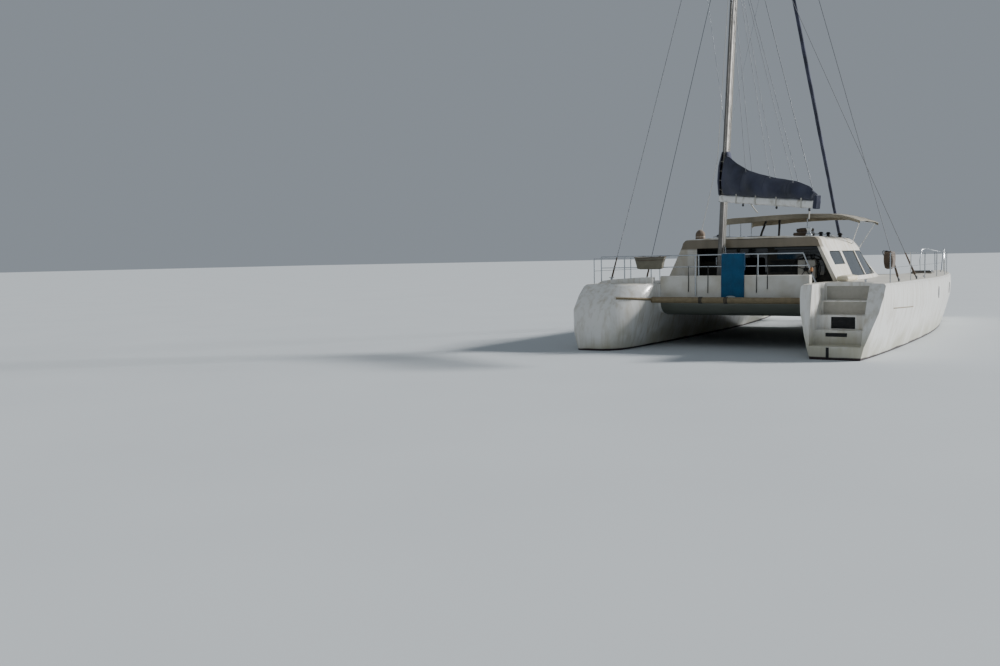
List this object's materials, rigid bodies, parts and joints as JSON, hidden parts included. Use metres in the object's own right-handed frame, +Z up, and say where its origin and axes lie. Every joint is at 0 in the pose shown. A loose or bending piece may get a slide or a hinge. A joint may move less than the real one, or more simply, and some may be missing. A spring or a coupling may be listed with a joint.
{
  "type": "sailing catamaran",
  "caption": "Cruising sailing catamaran with steps in its starboard stern, swept boom under a stowed sail cover, furled headsail, roof bimini, rails and a towel on the stern rail",
  "frame": {"origin": "on the waterline plane, on the boat's centreline, at half its length", "axes": "+X starboard, +Y forward towards the bows, +Z up"},
  "size_m": [7.201, 14, 16.51],
  "materials": {
    "gelcoat": "glossy moulded gelcoat, lightly weathered",
    "deck_paint": "satin moulded deck",
    "smoked_glass": "smoked acrylic",
    "stainless": "polished stainless tube",
    "spar_alloy": "anodised spar",
    "white_alloy": "white painted spar",
    "navy_canvas": "woven acrylic canvas",
    "khaki_canvas": "woven acrylic canvas",
    "brown_canvas": "woven canvas",
    "teal_cloth": "cotton terry",
    "netting": "knotted net",
    "bronze": "dull bronze",
    "antifouling": "matt antifouling paint"
  },
  "bodies": {
    "boat": {"port_hull": "gelcoat", "port_trampoline": "netting", "port_lifelines": "stainless", "port_pulpit": "stainless", "port_cap_shroud": "stainless", "port_lower_shroud": "stainless", "port_side_window": "smoked_glass", "port_front_window": "smoked_glass", "port_saildrive": "antifouling", "port_hatch_frame": "spar_alloy", "port_winch": "stainless", "starboard_hull": "gelcoat", "starboard_trampoline": "netting", "starboard_lifelines": "stainless", "starboard_pulpit": "stainless", "starboard_cap_shroud": "stainless", "starboard_lower_shroud": "stainless", "starboard_side_window": "smoked_glass", "starboard_front_window": "smoked_glass", "starboard_saildrive": "antifouling", "starboard_hatch_frame": "spar_alloy", "starboard_winch": "stainless", "bridgedeck": "deck_paint", "coachroof": "gelcoat", "saloon_bulkhead": "gelcoat", "bulkhead_window": "smoked_glass", "aft_bench": "deck_paint", "cockpit_table": "gelcoat", "saloon_settee": "brown_canvas", "mast": "spar_alloy", "mast_collar": "navy_canvas", "furled_headsail": "navy_canvas", "aft_crossbeam": "gelcoat", "forward_crossbeam": "spar_alloy", "centre_spine": "gelcoat", "anchor": "stainless", "stern_rail": "stainless", "helm_console": "gelcoat", "bimini_top": "khaki_canvas", "bimini_frame": "stainless", "roof_seat": "brown_canvas", "towel": "teal_cloth", "port_rail_bag": "brown_canvas", "starboard_rail_bag": "brown_canvas"},
    "boom": {"boom": "white_alloy", "sail_cover": "navy_canvas"},
    "helm_wheel": {"helm_wheel": "stainless"},
    "saloon_door": {"saloon_door": "smoked_glass"},
    "port_propeller": {"port_propeller": "bronze"},
    "port_rudder": {"port_rudder": "antifouling"},
    "port_hatch_lid": {"port_hatch_lid": "smoked_glass"},
    "starboard_propeller": {"starboard_propeller": "bronze"},
    "starboard_rudder": {"starboard_rudder": "antifouling"},
    "starboard_hatch_lid": {"starboard_hatch_lid": "smoked_glass"}
  },
  "joints": [
    {"name": "boom_swing", "type": "hinge", "parent": "boat", "child": "boom", "pos_m": [-0.5104, -4.693, 3.47], "axis": [0, 0, 1], "range_deg": [-140, 35]},
    {"name": "port_rudder_turn", "type": "hinge", "parent": "boat", "child": "port_rudder", "pos_m": [-2.67, -6.1, -0.25], "axis": [0, 0.0698, 0.9976], "range_deg": [-35, 35]},
    {"name": "starboard_rudder_turn", "type": "hinge", "parent": "boat", "child": "starboard_rudder", "pos_m": [2.67, -6.1, -0.25], "axis": [0, 0.0698, 0.9976], "range_deg": [-35, 35]},
    {"name": "helm_turn", "type": "hinge", "parent": "boat", "child": "helm_wheel", "pos_m": [1.18, -3.56, 1.76], "axis": [0, 1, 0], "range_deg": [-360, 360]},
    {"name": "port_propeller_spin", "type": "hinge", "parent": "boat", "child": "port_propeller", "pos_m": [-2.67, -5.08, -0.6], "axis": [0, 1, 0], "continuous": true},
    {"name": "starboard_propeller_spin", "type": "hinge", "parent": "boat", "child": "starboard_propeller", "pos_m": [2.67, -5.08, -0.6], "axis": [0, 1, 0], "continuous": true},
    {"name": "saloon_door_slide", "type": "slide", "parent": "boat", "child": "saloon_door", "axis": [-1, 0, 0], "range_m": [0, 0.62]},
    {"name": "port_hatch_lift", "type": "hinge", "parent": "boat", "child": "port_hatch_lid", "pos_m": [-2.67, 3.7, 1.535], "axis": [-1, 0, 0], "range_deg": [0, 85]},
    {"name": "starboard_hatch_lift", "type": "hinge", "parent": "boat", "child": "starboard_hatch_lid", "pos_m": [2.67, 3.7, 1.535], "axis": [-1, 0, 0], "range_deg": [0, 85]}
  ],
  "couplings": [
    {"joint": "starboard_rudder_turn", "follows": "port_rudder_turn", "ratio": 1},
    {"joint": "helm_turn", "follows": "port_rudder_turn", "ratio": 10.286}
  ]
}
